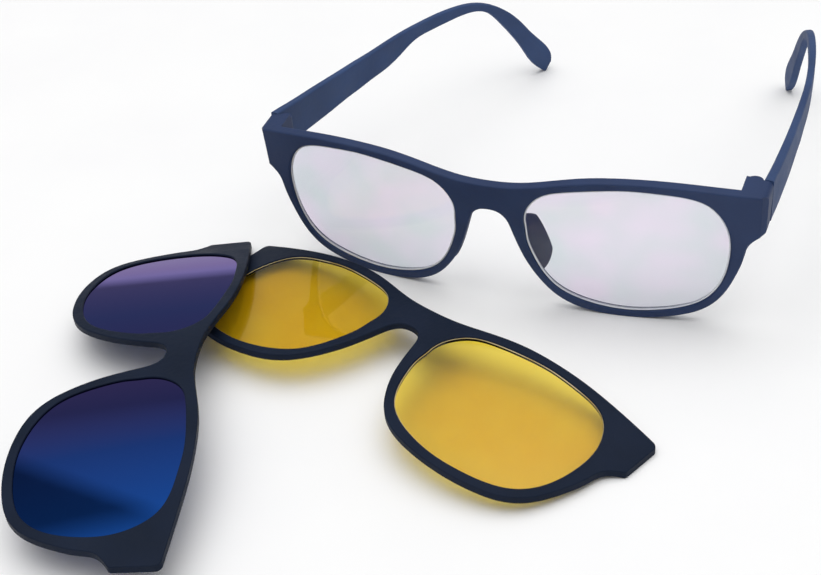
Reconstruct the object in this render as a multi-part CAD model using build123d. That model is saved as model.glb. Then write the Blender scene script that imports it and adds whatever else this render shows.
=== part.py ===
# Glasses with a bent plastic front, two folding temples and two clip-on sun shades held by magnets.
# The glasses stand on the rims and the temple tips, and both shades lie on the table before them.
# The row frame has +X to the right seen from the front, +Y back along the temples and +Z up.
# Lengths are in millimetres and angles in degrees.
import os
from math import cos, radians, sin, sqrt, tan

from build123d import *

# Where the middle of the front stands, so that the origin is under the middle of the whole set
front_place_x = 19.8
front_place_y = -4.76

# Front: outline, wall and bend
front_width = 136.8
front_height = 43.6
front_thickness = 2.8
front_bend_radius = 300.0
front_lean = 5.85
front_edge_round = 0.5
rim_foot_depth = 0.2

# Walls of the rims round the lens openings: to the nose, to the side, and above and below
front_nose_wall = 2.29
front_outer_wall = 3.08
front_rim_wall = 2.2

# Clear lenses and the grooves that hold them
lens_thickness = 1.4
lens_front_lip = 0.7
groove_depth = 0.6
groove_clearance = 0.05

# Nose pads, moulded with the front
pad_height = 17.0
pad_root_thickness = 2.6
pad_tip_thickness = 1.6
pad_reach = 6.5
pad_root_overlap = 0.4
pad_splay = 2.4
pad_tilt = 19.0
pad_inset = 0.2
pad_drop = 3.0

# End pieces that carry the hinges
block_width = 6.5
block_bottom_v = 7.6
block_bevel = 1.5
block_depth = 4.84

# Hinge: lugs on the front, tongue on the temple, screw from below and threaded insert above
hinge_setback = 0.4
lug_radius = 1.95
lug_rise = 0.47
lug_height = 10.8
tongue_height = 4.2
tongue_drop = 5.8
hinge_side_clearance = 0.1
hinge_round_clearance = 0.15
butt_clearance = 0.1
screw_radius = 0.7
screw_bore_clearance = 0.05
screw_head_radius = 1.2
screw_head_height = 0.9
screw_slot_width = 0.35
screw_slot_depth = 0.4
screw_top_gap = 0.4
insert_radius = 1.15
insert_height = 2.4
insert_seat_gap = 0.3

# Temples, with the thickness of the wall, the bow to the head and how far each is folded at rest
temple_length = 123.8
temple_rise = 1.07
temple_root_thickness = 2.4
temple_middle_thickness = 1.8
temple_tip_thickness = 2.3
temple_splay = 1.0
temple_bow_radius = 750.0
temple_bend_start = 51.0
temple_bend_radius = 314.0
temple_edge_round = 0.55
temple_left_rest_angle = 0.0
temple_right_rest_angle = 11.1

# Magnets in blind pockets that open to the back
magnet_radius = 1.5
magnet_clearance = 0.03
magnet_recess = 0.1
magnet_side_inset = 8.3
front_magnet_top_inset = 6.4
clip_magnet_top_inset = 7.5
front_magnet_skin = 0.8
clip_magnet_skin = 0.6

# Sun shades: outline, wall, bend and lenses
clip_width = 136.5
clip_height = 45.8
clip_thickness = 2.0
clip_bend_radius = 265.0
clip_edge_round = 0.3
clip_nose_wall = 2.75
clip_outer_wall = 3.39
clip_rim_wall = 2.5
clip_lens_thickness = 1.0
clip_lens_front_lip = 0.5

# Where the shades' right ends lie, from the middle of the front, and how they are turned
yellow_end_x = -78.27
yellow_end_y = -13.43
yellow_turn = -21.1
blue_end_x = -95.72
blue_end_y = -1.38
blue_rise = 3.74
blue_turn = -70.2
blue_pitch = 3.46
blue_roll = -3.69

# One overrun for all cuts, and the angle of a square corner
cut_overrun = 20.0
right_angle = 90.0

# Where a rim is narrowest to the side, lowest and narrowest to the nose: shares of half the width
rim_outer_share = 0.928
rim_low_share = 0.512
rim_nose_share = 0.104

# Height of an end piece's upper corner, as a share of half the height
end_top_share = 0.862

# Outline of the right half of front and shades: shares of half the width and half the height
brow_shares = [(0, 0.775), (0.117, 0.797), (0.234, 0.874), (0.365, 0.962), (0.526, 1.0),
               (0.673, 0.987), (0.789, 0.951), (0.892, 0.91), (1.0, end_top_share)]
rim_shares = [(0.997, 0.345), (0.974, 0.293), (0.944, 0.189), (rim_outer_share, 0.0),
              (0.908, -0.225), (0.877, -0.468), (0.836, -0.671), (0.779, -0.82), (0.706, -0.914),
              (0.614, -0.977), (rim_low_share, -1.0), (0.409, -0.977), (0.322, -0.91),
              (0.247, -0.775), (0.186, -0.563), (0.139, -0.315), (rim_nose_share, -0.036),
              (0.083, 0.18), (0.067, 0.306), (0.041, 0.387), (0, 0.414)]
upper_corner_share = 0.075
lower_corner_share = 0.05

# Outline of the right lens opening: shares of half its width and half its height
opening_shares = [(-1.0, 0.28), (-0.94, 0.61), (-0.79, 0.8), (-0.59, 0.89), (-0.28, 0.96),
                  (0.05, 1.0), (0.35, 0.98), (0.58, 0.94), (0.77, 0.84), (0.91, 0.63),
                  (0.99, 0.33), (0.995, 0.0), (0.955, -0.3), (0.87, -0.56), (0.735, -0.755),
                  (0.54, -0.885), (0.27, -0.97), (0, -1.0), (-0.28, -0.96), (-0.51, -0.87),
                  (-0.71, -0.71), (-0.85, -0.47), (-0.94, -0.2), (-0.99, 0.05)]

# Side view of a temple: upper and lower edge in pairs from the root to the tip, as shares of its
# length and of the height of its root's top over the table
temple_top_shares = [(0, 1.0), (0.042, 0.989), (0.084, 0.978), (0.145, 0.967), (0.208, 0.955),
                     (0.275, 0.944), (0.338, 0.934), (0.384, 0.928), (0.424, 0.926), (0.468, 0.925),
                     (0.532, 0.919), (0.594, 0.909), (0.652, 0.896), (0.709, 0.873), (0.762, 0.833),
                     (0.815, 0.758), (0.87, 0.634), (0.912, 0.495), (0.948, 0.356), (0.977, 0.254),
                     (0.992, 0.189), (0.999, 0.136), (0.998, 0.081)]
temple_low_shares = [(0, 0.722), (0.043, 0.719), (0.086, 0.717), (0.149, 0.717), (0.212, 0.72),
                     (0.281, 0.726), (0.345, 0.73), (0.388, 0.731), (0.428, 0.736), (0.473, 0.761),
                     (0.525, 0.806), (0.586, 0.815), (0.638, 0.809), (0.689, 0.804), (0.741, 0.787),
                     (0.788, 0.734), (0.835, 0.598), (0.872, 0.452), (0.901, 0.325), (0.922, 0.215),
                     (0.939, 0.129), (0.958, 0.058), (0.977, 0.004)]
temple_waist_share = 0.45

# Height of a nose pad's free end, as a share of the pad's height
pad_tip_share = 0.72


def mirrored(shape):
    """The same shape on the other side of the nose."""
    return mirror(shape, about=Plane.YZ)


def scaled_points(shares, across, up):
    """Outline points in real size, from shares of the two sizes that they follow."""
    return [(share_x * across, share_y * up) for share_x, share_y in shares]


def both_sides(points):
    """Points of a line across the middle, from those of its right half, which start at the middle."""
    return [(-across, up) for across, up in reversed(points[1:])] + points


def round_corner(face, place, radius):
    """Round the one corner of a flat face that lies nearest to a place."""
    return fillet(face.vertices().sort_by_distance(place)[0], radius)


def front_face(width, height):
    """Flat outline of the front or of a shade, with the nose notch and rounded end pieces."""
    half_width = width / 2
    half_height = height / 2
    brow = Spline(*both_sides(scaled_points(brow_shares, half_width, half_height)))
    low = Spline(*both_sides(scaled_points(rim_shares, half_width, half_height)[::-1]))
    face = make_face([brow, Line(brow @ 1, low @ 1), low, Line(low @ 0, brow @ 0)])
    for side in (0, 1):
        face = round_corner(face, brow @ side, upper_corner_share * half_height)
        face = round_corner(face, low @ side, lower_corner_share * half_height)
    return face


def lens_opening(width, height, nose_wall, outer_wall, rim_wall):
    """Middle, half width and half height of the right lens opening, from the rim and its walls."""
    inner = rim_nose_share * width / 2 + nose_wall
    outer = rim_outer_share * width / 2 - outer_wall
    return (inner + outer) / 2, (outer - inner) / 2, height / 2 - rim_wall


def opening_face(opening, grow):
    """Flat outline of the right lens opening, grown on all sides."""
    middle, half_width, half_height = opening
    points = scaled_points(opening_shares, half_width + grow, half_height + grow)
    return Pos(middle, 0, 0) * make_face(Spline(*points, periodic=True))


def through(face, depth):
    """A flat face taken through the bent sheet, from the overrun above it to a depth below."""
    return extrude(Pos(0, 0, -depth) * face, depth + cut_overrun)


def bent_bulk(radius, behind):
    """Everything behind a surface that is bent about Y and lies behind the front surface."""
    return Pos(0, 0, -radius) * Rot(right_angle, 0, 0) * Cylinder(radius - behind, radius)


def sheet_drop(radius, x):
    """How far a bent surface has dropped at a distance from its middle."""
    return radius - sqrt(radius ** 2 - x ** 2)


def lens_blank(opening, grow, bend_radius, behind, thickness):
    """Bent lens that follows the right opening's outline, grown into the groove."""
    middle, half_width, half_height = opening
    depth = sheet_drop(bend_radius, middle + half_width + grow) + cut_overrun
    blank = through(opening_face(opening, grow), depth)
    return (blank & bent_bulk(bend_radius, behind)) - bent_bulk(bend_radius, behind + thickness)


def rim_plate(width, height, thickness, bend_radius, opening, edge_round, lip, lens):
    """Bent plate, front surface up, with lens openings, their grooves and rounded edges."""
    depth = sheet_drop(bend_radius, width / 2) + cut_overrun
    outline = through(front_face(width, height), depth)
    plate = (outline & bent_bulk(bend_radius, 0)) - bent_bulk(bend_radius, thickness)
    groove = lens_blank(opening, groove_depth + groove_clearance, bend_radius,
                        lip - groove_clearance, lens + 2 * groove_clearance)
    plate = plate - groove - mirrored(groove)
    hole = through(opening_face(opening, 0), depth)
    plate = plate - hole - mirrored(hole)
    surfaces = plate.faces().filter_by(GeomType.CYLINDER).sort_by(SortBy.AREA)[-2:]
    return fillet(surfaces.edges(), edge_round)


def magnet_plug(place, bend_radius, thickness, skin, radius, recess):
    """Round plug behind the skin of the front surface, ending at a recess from the back."""
    x, v = place
    back = -sheet_drop(bend_radius, x) - thickness
    return Pos(x, v, back + recess) * extrude(Circle(radius), thickness - skin - recess)


def pocketed(plate, place, bend_radius, thickness, skin):
    """Plate with both magnet pockets, open to the back."""
    pocket = magnet_plug(place, bend_radius, thickness, skin, magnet_radius + magnet_clearance,
                         -cut_overrun)
    return plate - pocket - mirrored(pocket)


# Places that follow from the sizes above
half_front = front_width / 2
lean_along = cos(radians(front_lean))
lean_across = sin(radians(front_lean))
end_drop = sheet_drop(front_bend_radius, half_front)
rim_low_drop = sheet_drop(front_bend_radius, rim_low_share * half_front) + front_edge_round
front_middle_z = front_height / 2 * lean_along - rim_low_drop * lean_across - rim_foot_depth
end_top = front_middle_z + end_top_share * front_height / 2 * lean_along + end_drop * lean_across
joint_plane_y = end_drop * lean_along + block_depth
hinge_axis_x = half_front - temple_root_thickness - hinge_round_clearance - lug_radius
hinge_axis_y = joint_plane_y + hinge_setback
lug_top = end_top + lug_rise
lug_bottom = lug_top - lug_height
tongue_middle_z = lug_top - tongue_drop
temple_root_top = end_top + temple_rise
slot_bottom = tongue_middle_z - tongue_height / 2 - hinge_side_clearance
slot_top = tongue_middle_z + tongue_height / 2 + hinge_side_clearance
insert_bottom = slot_top + insert_seat_gap
insert_top = insert_bottom + insert_height
front_opening = lens_opening(front_width, front_height, front_nose_wall, front_outer_wall,
                             front_rim_wall)
clip_opening = lens_opening(clip_width, clip_height, clip_nose_wall, clip_outer_wall,
                            clip_rim_wall)
front_magnet_place = (half_front - magnet_side_inset, front_height / 2 - front_magnet_top_inset)
clip_magnet_place = (clip_width / 2 - magnet_side_inset, clip_height / 2 - clip_magnet_top_inset)
pad_place_x = rim_nose_share * half_front + front_nose_wall - pad_inset

# From the flat-lying plate to the standing front
stand_up = Pos(0, 0, front_middle_z) * Rot(right_angle + front_lean, 0, 0)


def upright(shape):
    """A shape made lying on its back, stood up and leant like the front."""
    return stand_up * shape


def box_between(low, high):
    """Box from one corner to the other."""
    size = [end - start for start, end in zip(low, high)]
    return Pos(*low) * Box(*size, align=(Align.MIN, Align.MIN, Align.MIN))


def post(radius, bottom, top):
    """Upright round bar on the hinge axis of the left side."""
    return Pos(hinge_axis_x, hinge_axis_y, bottom) * Cylinder(
        radius, top - bottom, align=(Align.CENTER, Align.CENTER, Align.MIN))


def nose_pad():
    """Pad behind the nasal side of the left rim, lying like the plate, thinner to its free end."""
    root_depth = front_thickness - pad_root_overlap
    tip_depth = front_thickness + pad_reach
    half_height = pad_height / 2
    root = Ellipse(pad_root_thickness / 2, half_height)
    tip = Ellipse(pad_tip_thickness / 2, half_height * pad_tip_share)
    middle = Ellipse((pad_root_thickness + pad_tip_thickness) / 4, half_height)
    sections = [
        Pos(pad_place_x, -pad_drop, -root_depth) * Rot(0, 0, pad_tilt) * root,
        Pos(pad_place_x + pad_splay / 2, -pad_drop, -(root_depth + tip_depth) / 2)
        * Rot(0, 0, pad_tilt) * middle,
        Pos(pad_place_x + pad_splay, -pad_drop, -tip_depth) * Rot(0, 0, pad_tilt) * tip]
    return loft(sections)


def end_piece():
    """Solid left end of the standing front, from its wall back to the joint plane."""
    depth = end_drop + cut_overrun
    room = box_between((half_front - block_width, block_bottom_v, -depth),
                       (front_width, front_height, 0))
    block = (through(front_face(front_width, front_height), depth) & room
             & bent_bulk(front_bend_radius, front_edge_round))
    behind = box_between((0, joint_plane_y, 0), (front_width, front_width, front_width))
    return upright(block) - behind


def make_lugs():
    """Both lugs of the left hinge, made as one post on a neck."""
    neck = box_between((hinge_axis_x - lug_radius, joint_plane_y - lug_radius, lug_bottom),
                       (hinge_axis_x + lug_radius, hinge_axis_y, lug_top))
    return neck + post(lug_radius, lug_bottom, lug_top)


def hinge_cut():
    """What is cut from the left end for the tongue, the screw, its head and the insert."""
    slot = post(lug_radius + hinge_round_clearance, slot_bottom, slot_top)
    bore = post(screw_radius + screw_bore_clearance, lug_bottom, slot_bottom)
    head = post(screw_head_radius + screw_bore_clearance, lug_bottom - cut_overrun,
                lug_bottom + screw_head_height)
    return slot + bore + head + post(insert_radius, slot_top, insert_top)


def bevel_cut():
    """Wedge that takes the sharp outer corner off the left end of the standing front."""
    side = block_bevel * sqrt(2)
    wedge = Rot(0, right_angle / 2, 0) * Box(side, front_height, side)
    return upright(Pos(half_front, 0, -end_drop) * wedge)


def make_front():
    """Front with grooves, pockets, nose pads and end pieces, all one moulding."""
    plate = rim_plate(front_width, front_height, front_thickness, front_bend_radius,
                      front_opening, front_edge_round, lens_front_lip, lens_thickness)
    pad = nose_pad()
    plate = plate + pad + mirrored(pad)
    plate = upright(pocketed(plate, front_magnet_place, front_bend_radius, front_thickness,
                             front_magnet_skin))
    below = box_between((-front_width, -front_width, -cut_overrun), (front_width, front_width, 0))
    bevel = bevel_cut()
    end = end_piece() - bevel
    front = (plate - below - bevel - mirrored(bevel)) + end + mirrored(end)
    lugs = make_lugs()
    cut = hinge_cut()
    return front + lugs + mirrored(lugs) - cut - mirrored(cut)


def make_screw():
    """Slotted screw that goes up through the lower lug and the tongue into the insert."""
    head = post(screw_head_radius, lug_bottom, lug_bottom + screw_head_height)
    shank = post(screw_radius, lug_bottom, insert_top - screw_top_gap)
    slot = Pos(hinge_axis_x, hinge_axis_y, lug_bottom) * Box(
        2 * cut_overrun, screw_slot_width, 2 * screw_slot_depth)
    return head + shank - slot


def make_insert():
    """Threaded insert in the upper lug, the thread left as a plain bore."""
    return post(insert_radius, insert_bottom, insert_top) - post(screw_radius, insert_bottom, insert_top)


def temple_wall(share):
    """Thickness of a temple at a share of its length, thinnest at the waist."""
    if share < temple_waist_share:
        part = share / temple_waist_share
        return temple_root_thickness + (temple_middle_thickness - temple_root_thickness) * part
    part = (share - temple_waist_share) / (1 - temple_waist_share)
    return temple_middle_thickness + (temple_tip_thickness - temple_middle_thickness) * part


def temple_inset(y):
    """How far the left temple has come in at a distance behind its root."""
    bow = sheet_drop(temple_bow_radius, y)
    bend = sheet_drop(temple_bend_radius, max(y - temple_bend_start, 0))
    return bow + bend - y * tan(radians(temple_splay))


def temple_point(share_y, share_z):
    """Middle of the left temple's wall at a point of the side view."""
    y = share_y * temple_length
    x = -temple_inset(y) - temple_wall(share_y) / 2
    return Vector(x, y, share_z * temple_root_top)


def temple_section(top_shares, low_shares):
    """Rounded cross-section of the left temple between its upper and its lower edge."""
    top = temple_point(*top_shares)
    low = temple_point(*low_shares)
    up = top - low
    along = Vector(1, 0, 0).cross(up)
    plane = Plane((top + low) / 2, x_dir=up.cross(along), z_dir=along)
    return plane * RectangleRounded(temple_wall(top_shares[0]), up.length, temple_edge_round)


def make_temple():
    """Left temple, fully open, with the hinge tongue."""
    root_y = joint_plane_y + butt_clearance
    pairs = zip(temple_top_shares, temple_low_shares)
    strip = loft([temple_section(top, low) for top, low in pairs])
    below = box_between((-temple_length, 0, -cut_overrun), (temple_length, 2 * temple_length, 0))
    strip = Pos(half_front, root_y, 0) * (strip - below)
    tongue_bottom = tongue_middle_z - tongue_height / 2
    tongue_top = tongue_middle_z + tongue_height / 2
    web = box_between((hinge_axis_x, root_y, tongue_bottom),
                      (half_front - temple_root_thickness / 2, hinge_axis_y + lug_radius, tongue_top))
    tongue = post(lug_radius, tongue_bottom, tongue_top)
    bore = post(screw_radius + screw_bore_clearance, tongue_bottom, tongue_top)
    return strip + web + tongue - bore


def folded(temple, angle):
    """Left temple turned inwards about its hinge axis."""
    axis = Pos(hinge_axis_x, hinge_axis_y, 0)
    return axis * Rot(0, 0, angle) * Pos(-hinge_axis_x, -hinge_axis_y, 0) * temple


def make_shade():
    """The pieces of a sun shade, lying face up with the middle of its front surface at the origin."""
    plate = rim_plate(clip_width, clip_height, clip_thickness, clip_bend_radius, clip_opening,
                      clip_edge_round, clip_lens_front_lip, clip_lens_thickness)
    plate = pocketed(plate, clip_magnet_place, clip_bend_radius, clip_thickness, clip_magnet_skin)
    blank = lens_blank(clip_opening, groove_depth, clip_bend_radius, clip_lens_front_lip,
                       clip_lens_thickness)
    magnet = magnet_plug(clip_magnet_place, clip_bend_radius, clip_thickness, clip_magnet_skin,
                         magnet_radius, magnet_recess)
    return {"frame": plate, "lens_left": blank, "lens_right": mirrored(blank),
            "magnet_left": magnet, "magnet_right": mirrored(magnet)}


# The glasses
nodes = {"front_frame": make_front()}
clear_lens = upright(lens_blank(front_opening, groove_depth, front_bend_radius, lens_front_lip,
                                lens_thickness))
front_magnet = upright(magnet_plug(front_magnet_place, front_bend_radius, front_thickness,
                                   front_magnet_skin, magnet_radius, magnet_recess))
for name, piece in (("lens", clear_lens), ("hinge_screw", make_screw()),
                    ("hinge_insert", make_insert()), ("frame_magnet", front_magnet)):
    nodes[name + "_left"] = piece
    nodes[name + "_right"] = mirrored(piece)
temple = make_temple()
nodes["temple_left"] = folded(temple, temple_left_rest_angle)
nodes["temple_right"] = mirrored(folded(temple, temple_right_rest_angle))

# The yellow shade lies on its two end pieces, the blue one partly on the yellow one
clip_foot_x = clip_width / 2 - clip_edge_round
clip_lift = sheet_drop(clip_bend_radius - clip_thickness, clip_foot_x) + clip_thickness
to_middle = Pos(clip_width / 2, 0, clip_lift)
yellow_place = Pos(yellow_end_x, yellow_end_y, 0) * Rot(0, 0, yellow_turn) * to_middle
blue_place = (Pos(blue_end_x, blue_end_y, blue_rise) * Rot(0, 0, blue_turn) * to_middle
              * Rot(blue_pitch, 0, 0) * Rot(0, blue_roll, 0))
shade = make_shade()
for colour, place in (("yellow", yellow_place), ("blue", blue_place)):
    for name, piece in shade.items():
        nodes[colour + "_clip_" + name] = place * piece

# One file for each piece, with the origin on the table under the middle of the set
os.makedirs("parts", exist_ok=True)
for name, piece in nodes.items():
    export_step(Pos(front_place_x, front_place_y, 0) * piece, "parts/" + name + ".step")
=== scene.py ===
"""Glasses with two clip-on sun shades: the finish of each piece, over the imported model.

Lengths are in metres. The glasses stand on their rims and temple tips, with both shades before them.
"""
import math

import bmesh
import bpy
from mathutils import Matrix, Vector


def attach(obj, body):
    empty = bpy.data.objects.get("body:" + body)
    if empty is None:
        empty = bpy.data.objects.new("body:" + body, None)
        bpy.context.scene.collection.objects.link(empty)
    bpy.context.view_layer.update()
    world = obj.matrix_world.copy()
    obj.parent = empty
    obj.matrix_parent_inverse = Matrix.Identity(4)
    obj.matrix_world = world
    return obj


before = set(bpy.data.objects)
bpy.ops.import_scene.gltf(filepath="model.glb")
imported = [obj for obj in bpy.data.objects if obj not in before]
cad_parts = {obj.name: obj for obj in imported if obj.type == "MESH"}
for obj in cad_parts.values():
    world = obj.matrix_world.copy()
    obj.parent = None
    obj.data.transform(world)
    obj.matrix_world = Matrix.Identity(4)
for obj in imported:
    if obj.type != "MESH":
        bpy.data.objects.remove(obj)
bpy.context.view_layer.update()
scene = bpy.context.scene

# Front: one moulding of matte navy plastic with both rims, the bridge, the nose pads and the end
# pieces. The steel mould leaves a fine even grain, and handling rubs it a little smoother in patches.
ramp_start = 0.32
ramp_end = 0.68
grain_size = 0.00022
grain_depth = 0.00003
grain_strength = 0.35
wave_size = 0.0016
wave_depth = 0.0002
wave_strength = 0.12
cloud_size = 0.012
rubbed_size = 0.006
plastic_index = 1.46
navy_dark = (0.017, 0.033, 0.092)
navy_light = (0.025, 0.045, 0.116)


def add_node(tree, kind, settings=None, **inputs):
    """Add a node, set its options and its plain inputs, and link the inputs that are sockets."""
    node = tree.nodes.new(kind)
    for name, value in (settings or {}).items():
        setattr(node, name, value)
    for name, value in inputs.items():
        socket = node.inputs[name.replace("_", " ")]
        if isinstance(value, bpy.types.NodeSocket):
            tree.links.new(value, socket)
        else:
            socket.default_value = value
    return node


def new_material(name):
    """An empty node material, its tree and its output."""
    material = bpy.data.materials.new(name)
    material.use_nodes = True
    material.node_tree.nodes.clear()
    output = add_node(material.node_tree, "ShaderNodeOutputMaterial")
    return material, material.node_tree, output


def speckle(tree, size, detail, low, high):
    """Noise with spots of a given size, spread between two values or two colours."""
    place = add_node(tree, "ShaderNodeTexCoord").outputs["Object"]
    noise = add_node(tree, "ShaderNodeTexNoise", Vector=place, Scale=1 / size, Detail=detail)
    ramp = add_node(tree, "ShaderNodeValToRGB", Fac=noise.outputs["Fac"])
    ramp.color_ramp.elements[0].position = ramp_start
    ramp.color_ramp.elements[1].position = ramp_end
    for stop, value in zip(ramp.color_ramp.elements, (low, high)):
        stop.color = (*value, 1) if isinstance(value, tuple) else (value, value, value, 1)
    return ramp.outputs["Color"]


def moulded_plastic(name, dark, light, smooth, rough, gloss):
    """Matte moulded plastic: faint clouds of colour, rubbed patches and a fine eroded grain."""
    material, tree, output = new_material(name)
    grain = speckle(tree, grain_size, detail=2.0, low=0.0, high=1.0)
    waves = speckle(tree, wave_size, detail=1.0, low=0.0, high=1.0)
    wavy = add_node(tree, "ShaderNodeBump", Strength=wave_strength, Distance=wave_depth, Height=waves)
    grained = add_node(tree, "ShaderNodeBump", Strength=grain_strength, Distance=grain_depth,
                       Height=grain, Normal=wavy.outputs["Normal"])
    surface = add_node(tree, "ShaderNodeBsdfPrincipled", IOR=plastic_index, Specular_IOR_Level=gloss,
                       Base_Color=speckle(tree, cloud_size, detail=3.0, low=dark, high=light),
                       Roughness=speckle(tree, rubbed_size, detail=4.0, low=smooth, high=rough),
                       Normal=grained.outputs["Normal"])
    tree.links.new(surface.outputs["BSDF"], output.inputs["Surface"])
    return material


def finish_node(name, material):
    """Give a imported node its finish."""
    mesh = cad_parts[name].data
    mesh.materials.clear()
    mesh.materials.append(material)


navy_plastic = moulded_plastic("navy_plastic", navy_dark, navy_light, smooth=0.52, rough=0.66, gloss=0.25)
finish_node("front_frame", navy_plastic)

# Clear lenses: coated plastic, snapped into the groove of each rim. The coating throws back faint violet
# and green, and the soft clouds of pale green and lilac in the lens colour are painted reflections of a
# window. The polished bevel is a whitish bead along the rim, a painted highlight for its bright line, and
# behind it stands the ground edge of the lens.
lens_index = 1.5
wipe_size = 0.004
wiped_roughness = 0.012
smeared_roughness = 0.03
tint_and_reflection_size = 0.014
# Lens tint: the spread between these two colours is painted as clouds of reflected window light.
clear_tint_and_reflection_dark = (0.72, 0.77, 0.8)
clear_tint_and_reflection_light = (0.83, 0.76, 0.87)
# Whitish bevel colours: a painted highlight on the polished bevel, and the frosted look of the ground edge.
bevel_highlight_dark = (0.78, 0.82, 0.92)
bevel_highlight_light = (0.95, 0.96, 0.99)
crease_angle = 0.8
facing_share = 0.8
merge_distance = 1e-7
bead_sides = 8
lens_in_groove = 0.0006
lens_depth = 0.0014
bead_radius = 0.00024
ground_radius = 0.00045
glasses_facing = Vector((0, -1, 0))


def clear_plastic(name, dark, light, film_nm, film_index):
    """See-through lens plastic under a thin coating that colours what it reflects, with soft clouds of tint
    and painted reflection.
    """
    material, tree, output = new_material(name)
    wipe_marks = speckle(tree, wipe_size, detail=5.0, low=wiped_roughness, high=smeared_roughness)
    surface = add_node(tree, "ShaderNodeBsdfPrincipled", Roughness=wipe_marks, IOR=lens_index,
                       Base_Color=speckle(tree, tint_and_reflection_size, detail=1.0, low=dark, high=light),
                       Transmission_Weight=1.0, Thin_Film_Thickness=film_nm, Thin_Film_IOR=film_index)
    tree.links.new(surface.outputs["BSDF"], output.inputs["Surface"])
    return material


def bevel_plastic(name, dark, light, patch_size, roughness, clearness):
    """Polished or ground edge of a lens, whitish and barely clear: a painted highlight on a polished bevel,
    frosting on a ground one.
    """
    material, tree, output = new_material(name)
    surface = add_node(tree, "ShaderNodeBsdfPrincipled", Roughness=roughness, IOR=lens_index,
                       Base_Color=speckle(tree, patch_size, detail=2.0, low=dark, high=light),
                       Transmission_Weight=clearness)
    tree.links.new(surface.outputs["BSDF"], output.inputs["Surface"])
    return material


def front_rim_loop(node, facing):
    """Corners round the side of a lens that faces one way, in order, and that side's mean normal."""
    shape = bmesh.new()
    shape.from_mesh(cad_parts[node].data)
    bmesh.ops.remove_doubles(shape, verts=shape.verts, dist=merge_distance)
    bmesh.ops.split_edges(shape, edges=[edge for edge in shape.edges
                                        if edge.is_manifold and edge.calc_face_angle() > crease_angle])
    side = [face for face in shape.faces if face.normal.dot(facing) > facing_share]
    neighbours = {}
    for edge in [edge for face in side for edge in face.edges if len(edge.link_faces) == 1]:
        first, second = edge.verts
        neighbours.setdefault(first, []).append(second)
        neighbours.setdefault(second, []).append(first)
    start = max(neighbours, key=lambda corner: corner.co.x)
    walk = [start]
    before, corner = None, start
    while True:
        onward = [other for other in neighbours[corner] if other is not before]
        before, corner = corner, onward[0]
        if corner is start:
            break
        walk.append(corner)
    normal = sum((face.normal * face.calc_area() for face in side), Vector()).normalized()
    loop = [corner.co.copy() for corner in walk]
    shape.free()
    return loop, normal


def drawn_in(loop, normal, inset, rise):
    """A loop moved inwards in its own surface, and out along the normal."""
    middle = sum(loop, Vector()) / len(loop)
    moved = []
    for index, point in enumerate(loop):
        along = (loop[(index + 1) % len(loop)] - loop[index - 1]).normalized()
        inwards = normal.cross(along)
        if inwards.dot(middle - point) < 0:
            inwards.negate()
        moved.append(point + inwards * inset + normal * rise)
    return moved


def bead_tree():
    """Geometry nodes that sweep a round bead along the edges of a mesh."""
    tree = bpy.data.node_groups.new("bevel_bead", "GeometryNodeTree")
    for name, kind in (("Geometry", "NodeSocketGeometry"), ("Bead Radius", "NodeSocketFloat"),
                       ("Finish", "NodeSocketMaterial")):
        tree.interface.new_socket(name, in_out="INPUT", socket_type=kind)
    tree.interface.new_socket("Geometry", in_out="OUTPUT", socket_type="NodeSocketGeometry")
    given = add_node(tree, "NodeGroupInput")
    path = add_node(tree, "GeometryNodeMeshToCurve", Mesh=given.outputs["Geometry"])
    profile = add_node(tree, "GeometryNodeCurvePrimitiveCircle", Resolution=bead_sides,
                       Radius=given.outputs["Bead Radius"])
    swept = add_node(tree, "GeometryNodeCurveToMesh", Curve=path.outputs["Curve"],
                     Profile_Curve=profile.outputs["Curve"])
    real = add_node(tree, "GeometryNodeRealizeInstances", Geometry=swept.outputs["Mesh"])
    smooth = add_node(tree, "GeometryNodeSetShadeSmooth", Geometry=real.outputs["Geometry"])
    painted = add_node(tree, "GeometryNodeSetMaterial", Geometry=smooth.outputs["Geometry"],
                       Material=given.outputs["Finish"])
    result = add_node(tree, "NodeGroupOutput")
    tree.links.new(painted.outputs["Geometry"], result.inputs["Geometry"])
    return tree


def add_bead(name, loop, radius, material, body):
    """A bead along a closed loop, made a plain mesh that rides on a body."""
    path = bpy.data.meshes.new(name + "_path")
    path.from_pydata(loop, [(index, (index + 1) % len(loop)) for index in range(len(loop))], [])
    source = bpy.data.objects.new(name + "_path", path)
    scene.collection.objects.link(source)
    modifier = source.modifiers.new("bead", "NODES")
    modifier.node_group = bead_nodes
    sockets = {item.name: item.identifier for item in bead_nodes.interface.items_tree
               if item.in_out == "INPUT"}
    modifier[sockets["Bead Radius"]] = radius
    modifier[sockets["Finish"]] = material
    evaluated = source.evaluated_get(bpy.context.evaluated_depsgraph_get())
    mesh = bpy.data.meshes.new_from_object(evaluated)
    bpy.data.objects.remove(source)
    bead = bpy.data.objects.new(name, mesh)
    scene.collection.objects.link(bead)
    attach(bead, body)


clear_lens = clear_plastic("clear_lens", clear_tint_and_reflection_dark, clear_tint_and_reflection_light, film_nm=108.0, film_index=1.38)
bevel_highlight_and_frost = bevel_plastic("bevel_highlight_and_frost", bevel_highlight_dark, bevel_highlight_light, patch_size=0.009,
                               roughness=0.18, clearness=0.15)
bead_nodes = bead_tree()
for side in ("left", "right"):
    finish_node("lens_" + side, clear_lens)
    rim_loop, lens_normal = front_rim_loop("lens_" + side, glasses_facing)
    bevel_loop = drawn_in(rim_loop, lens_normal, lens_in_groove + bead_radius, 0)
    add_bead("lens_bevel_" + side, bevel_loop, bead_radius, bevel_highlight_and_frost, "front")
    ground_loop = drawn_in(rim_loop, lens_normal, lens_in_groove, -lens_depth / 2)
    add_bead("lens_ground_edge_" + side, ground_loop, ground_radius, bevel_highlight_and_frost, "front")

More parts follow.
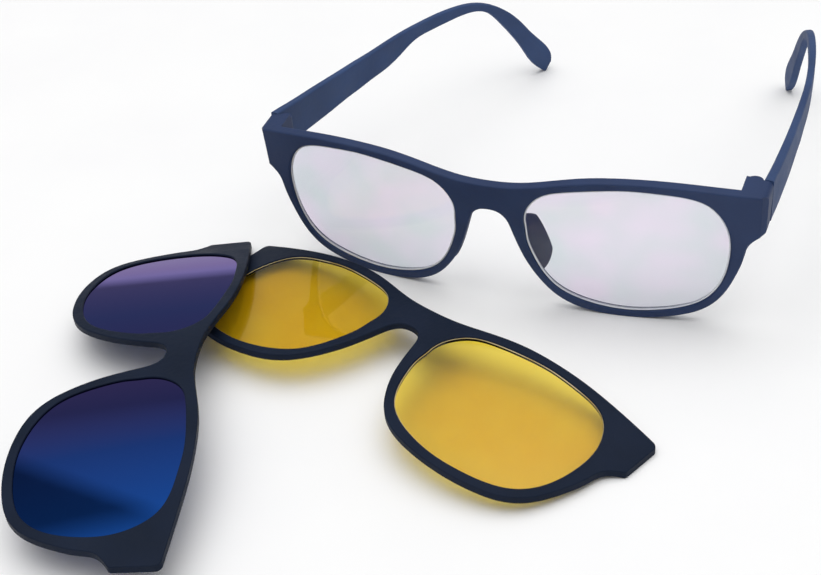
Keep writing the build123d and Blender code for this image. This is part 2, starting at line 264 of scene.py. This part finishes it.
# Temples: the same moulded plastic as the front, a shade lighter and bluer, with a duller surface.
# Each is one piece with its hinge tongue.
temple_dark = (0.027, 0.053, 0.135)
temple_light = (0.037, 0.07, 0.172)
temple_plastic = moulded_plastic("temple_plastic", temple_dark, temple_light, smooth=0.56, rough=0.7,
                                 gloss=0.25)
for side in ("left", "right"):
    finish_node("temple_" + side, temple_plastic)

# Hinge screws and inserts: slotted steel screws turned on an automatic lathe, and brass inserts
# pressed into the upper lugs. Both keep fine turning rings round their axis.
rings_per_metre = 900.0
ring_wobble = 0.4
ring_strength = 0.2
ring_depth = 0.00003
dull_size = 0.0015
dull_grain_size = 0.0008
dull_share = 0.75
dull_roughness = 1.5
steel_colour = (0.6, 0.6, 0.62)
brass_colour = (0.75, 0.52, 0.22)


def turned_metal(name, colour, roughness):
    """Metal with fine turning rings and small patches of dulling."""
    material, tree, output = new_material(name)
    place = add_node(tree, "ShaderNodeTexCoord").outputs["Object"]
    rings = add_node(tree, "ShaderNodeTexWave", settings={"bands_direction": "Z"}, Vector=place,
                     Scale=rings_per_metre, Distortion=ring_wobble)
    bump = add_node(tree, "ShaderNodeBump", Strength=ring_strength, Distance=ring_depth,
                    Height=rings.outputs["Fac"])
    dull = tuple(dull_share * part for part in colour)
    surface = add_node(tree, "ShaderNodeBsdfPrincipled", Metallic=1.0,
                       Base_Color=speckle(tree, dull_size, detail=3.0, low=dull, high=colour),
                       Roughness=speckle(tree, dull_grain_size, detail=2.0, low=roughness,
                                         high=dull_roughness * roughness),
                       Normal=bump.outputs["Normal"])
    tree.links.new(surface.outputs["BSDF"], output.inputs["Surface"])
    return material


screw_steel = turned_metal("screw_steel", steel_colour, roughness=0.28)
insert_brass = turned_metal("insert_brass", brass_colour, roughness=0.3)
for side in ("left", "right"):
    finish_node("hinge_screw_" + side, screw_steel)
    finish_node("hinge_insert_" + side, insert_brass)

# Shade frames: thinner mouldings of a darker slate blue, with the same grain as the glasses.
# Both shades come from one mould.
slate_dark = (0.006, 0.0115, 0.026)
slate_light = (0.009, 0.0155, 0.034)
slate_plastic = moulded_plastic("slate_plastic", slate_dark, slate_light, smooth=0.45, rough=0.6, gloss=0.1)
for colour in ("yellow", "blue"):
    finish_node(colour + "_clip_frame", slate_plastic)

# Magnets: nickel-plated discs, glued into blind pockets in the back of the front and the shades.
# The bright plating is smoother than the turned steel.
nickel_colour = (0.66, 0.64, 0.6)
nickel = turned_metal("nickel", nickel_colour, roughness=0.2)
for owner in ("frame", "yellow_clip", "blue_clip"):
    for side in ("left", "right"):
        finish_node(owner + "_magnet_" + side, nickel)

# Amber lenses: polarising sheet dyed through, cut to shape and snapped into the shade. Light passes
# it on the way to the table and back, so the colour of one pass is paler than the lens looks.
amber_dark = (0.99, 0.725, 0.055)
amber_light = (1.0, 0.775, 0.08)
# Amber edge colours: a painted highlight, the bright line along each lens bevel.
amber_edge_highlight_dark = (0.62, 0.44, 0.12)
amber_edge_highlight_light = (0.9, 0.78, 0.45)
shade_bead_radius = 0.00014
shade_facing = Vector((0, 0, 1))
amber_lens = clear_plastic("amber_lens", amber_dark, amber_light, film_nm=0.0, film_index=1.4)
amber_bevel_highlight = bevel_plastic("amber_bevel_highlight", amber_edge_highlight_dark, amber_edge_highlight_light, patch_size=0.007,
                            roughness=0.2, clearness=0.3)
for side in ("left", "right"):
    finish_node("yellow_clip_lens_" + side, amber_lens)
    rim_loop, lens_normal = front_rim_loop("yellow_clip_lens_" + side, shade_facing)
    bevel_loop = drawn_in(rim_loop, lens_normal, lens_in_groove + shade_bead_radius / 2, 0)
    add_bead("yellow_clip_bevel_" + side, bevel_loop, shade_bead_radius, amber_bevel_highlight, "yellow_clip")

# Blue lenses: dark polarising sheet under a mirror coating that turns from royal blue, seen
# straight on, to violet at a slant.
coating_stops = ((0.24, (0.007, 0.052, 0.24)), (0.33, (0.011, 0.043, 0.21)), (0.43, (0.078, 0.062, 0.25)),
                 (0.56, (0.022, 0.045, 0.29)), (0.63, (0.045, 0.035, 0.31)), (0.68, (0.055, 0.004, 0.22)))
haze_size = 0.005


def set_stops(ramp, stops):
    """Give a colour ramp its places and colours."""
    while len(ramp.elements) < len(stops):
        ramp.elements.new(1 / 2)
    for stop, (place, colour) in zip(ramp.elements, stops):
        stop.position = place
        stop.color = (*colour, 1)


mirror_blue, mirror_tree, mirror_output = new_material("mirror_blue")
slant = add_node(mirror_tree, "ShaderNodeLayerWeight", Blend=0.5)
coating = add_node(mirror_tree, "ShaderNodeValToRGB", Fac=slant.outputs["Facing"])
set_stops(coating.color_ramp, coating_stops)
haze = speckle(mirror_tree, haze_size, detail=4.0, low=0.03, high=0.06)
mirror_surface = add_node(mirror_tree, "ShaderNodeBsdfPrincipled", Metallic=1.0, Roughness=haze,
                          Base_Color=coating.outputs["Color"])
mirror_tree.links.new(mirror_surface.outputs["BSDF"], mirror_output.inputs["Surface"])
for side in ("left", "right"):
    finish_node("blue_clip_lens_" + side, mirror_blue)

# Table: a pale sheet far wider than the set, and not part of it. Its surface is matte, with faint
# clouds of tone.
table_half = 3.0
table_cloud_size = 0.05
table_dark = (0.9, 0.9, 0.905)
table_light = (0.92, 0.92, 0.92)
table_mesh = bpy.data.meshes.new("table")
table_mesh.from_pydata([(-table_half, -table_half, 0), (table_half, -table_half, 0),
                        (table_half, table_half, 0), (-table_half, table_half, 0)], [], [(0, 1, 2, 3)])
table = bpy.data.objects.new("table", table_mesh)
scene.collection.objects.link(table)
table_white, table_tree, table_output = new_material("table_white")
table_surface = add_node(table_tree, "ShaderNodeBsdfPrincipled", Roughness=0.7,
                         Base_Color=speckle(table_tree, table_cloud_size, detail=3.0, low=table_dark,
                                            high=table_light))
table_tree.links.new(table_surface.outputs["BSDF"], table_output.inputs["Surface"])
table_mesh.materials.append(table_white)

# Light: a bright, nearly shadowless room. It is brightest overhead, dim half way down, and bright
# again near the horizon, which the mirror lenses show as their bands of colour. A dark screen stands
# on the far left, and the near mirror lens shows it.
room_strength = 3.0
room_bands = ((0.0, 1.0), (0.1, 1.0), (0.145, 0.3), (0.6, 0.3), (0.7, 0.8), (0.79, 1.1), (0.9, 2.2),
              (1.0, 2.8))
screen_strength = 0.8
screen_top = (0.79, 0.85)
screen_far_edge = math.radians(157.0)
screen_far_fade = 0.02
screen_near_edge = math.radians(143.6)
screen_near_fade = 0.03


def past_edge(tree, way, angle, side):
    """How far a direction lies to one side, 1 or -1, of an upright plane at an angle."""
    product = add_node(tree, "ShaderNodeVectorMath", settings={"operation": "DOT_PRODUCT"})
    tree.links.new(way, product.inputs[0])
    product.inputs[1].default_value = (side * math.sin(angle), -side * math.cos(angle), 0)
    return product.outputs["Value"]


def faded(tree, value, fade, outside, inside):
    """One strength up to the start of a fade and another from its end."""
    start, end = fade
    return add_node(tree, "ShaderNodeMapRange", Value=value, From_Min=start, From_Max=end,
                    To_Min=outside, To_Max=inside).outputs["Result"]


world = bpy.data.worlds.new("room")
scene.world = world
world.use_nodes = True
room = world.node_tree
room.nodes.clear()
room_way = add_node(room, "ShaderNodeTexCoord").outputs["Generated"]
room_height = add_node(room, "ShaderNodeSeparateXYZ", Vector=room_way).outputs["Z"]
room_glow = add_node(room, "ShaderNodeValToRGB", Fac=room_height)
set_stops(room_glow.color_ramp, [(height, (light / room_strength,) * 3) for height, light in room_bands])
below_top = faded(room, room_height, screen_top, screen_strength, room_strength)
before_far_edge = faded(room, past_edge(room, room_way, screen_far_edge, 1), (0, screen_far_fade),
                        room_strength, below_top)
past_near_edge = faded(room, past_edge(room, room_way, screen_near_edge, -1), (0, screen_near_fade),
                       room_strength, before_far_edge)
room_light = add_node(room, "ShaderNodeBackground", Color=room_glow.outputs["Color"],
                      Strength=past_near_edge)
room_output = add_node(room, "ShaderNodeOutputWorld")
room.links.new(room_light.outputs["Background"], room_output.inputs["Surface"])
scene.view_settings.view_transform = "Standard"

# Camera: a phone held over the wearer's left side of the glasses, looking down along the set.
# The picture is cut from a wider one, so its middle lies beside the lens axis, which takes a shift.
camera_place = Vector((0.13715, -0.3035, 0.23763))
camera_aim = Vector((-0.4043, 0.7066, -0.5808))
camera_up = Vector((-0.1686, 0.5665, 0.8066))
camera = bpy.data.objects.new("camera", bpy.data.cameras.new("camera"))
scene.collection.objects.link(camera)
back = -camera_aim.normalized()
right = camera_up.cross(back).normalized()
turn = Matrix((right, back.cross(right), back)).transposed().to_4x4()
camera.matrix_world = Matrix.Translation(camera_place) @ turn
camera.data.lens = 64.63
camera.data.shift_x = 0.1132
camera.data.shift_y = 0.0064
camera.data.clip_start = 0.01
scene.camera = camera
